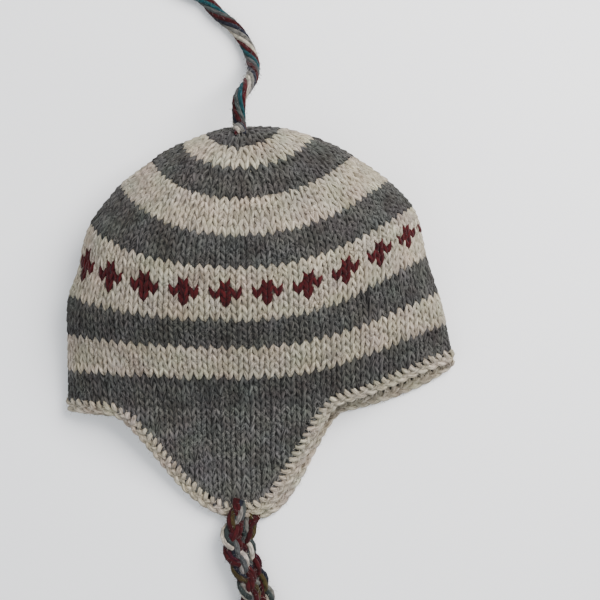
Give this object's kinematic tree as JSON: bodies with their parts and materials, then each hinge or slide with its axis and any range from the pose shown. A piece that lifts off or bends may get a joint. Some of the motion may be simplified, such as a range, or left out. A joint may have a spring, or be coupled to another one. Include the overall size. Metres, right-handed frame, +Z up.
{
  "type": "chullo hat",
  "caption": "Knitted chullo hat lying on its side, with a hollow crown, ear flaps, crocheted edging, a twisted top cord and braided ties.",
  "frame": {"origin": "on the surface that the hat lies on, under the middle of the box round the knit and its edging, cords left out", "axes": "+X across the hat from its left fold to its right fold as it lies, +Y from the ear flaps towards the crown's tip, +Z up from the surface"},
  "size_m": [0.2671, 0.5219, 0.085],
  "materials": {
    "crown_wool": "matt heathered wool in cream, grey and maroon",
    "flap_wool": "matt heathered dark grey wool",
    "edging_wool": "matt cream wool",
    "cord_yarns": "matt wool yarns of several colours"
  },
  "bodies": {
    "root": {"crown": "crown_wool", "ear_flap_upper": "flap_wool", "ear_flap_lower": "flap_wool", "crochet_edging": "edging_wool", "top_cord": "cord_yarns", "top_cord_end": "cord_yarns", "tie_upper": "cord_yarns", "tie_upper_end": "cord_yarns", "tie_lower": "cord_yarns", "tie_lower_end": "cord_yarns"}
  },
  "joints": []
}
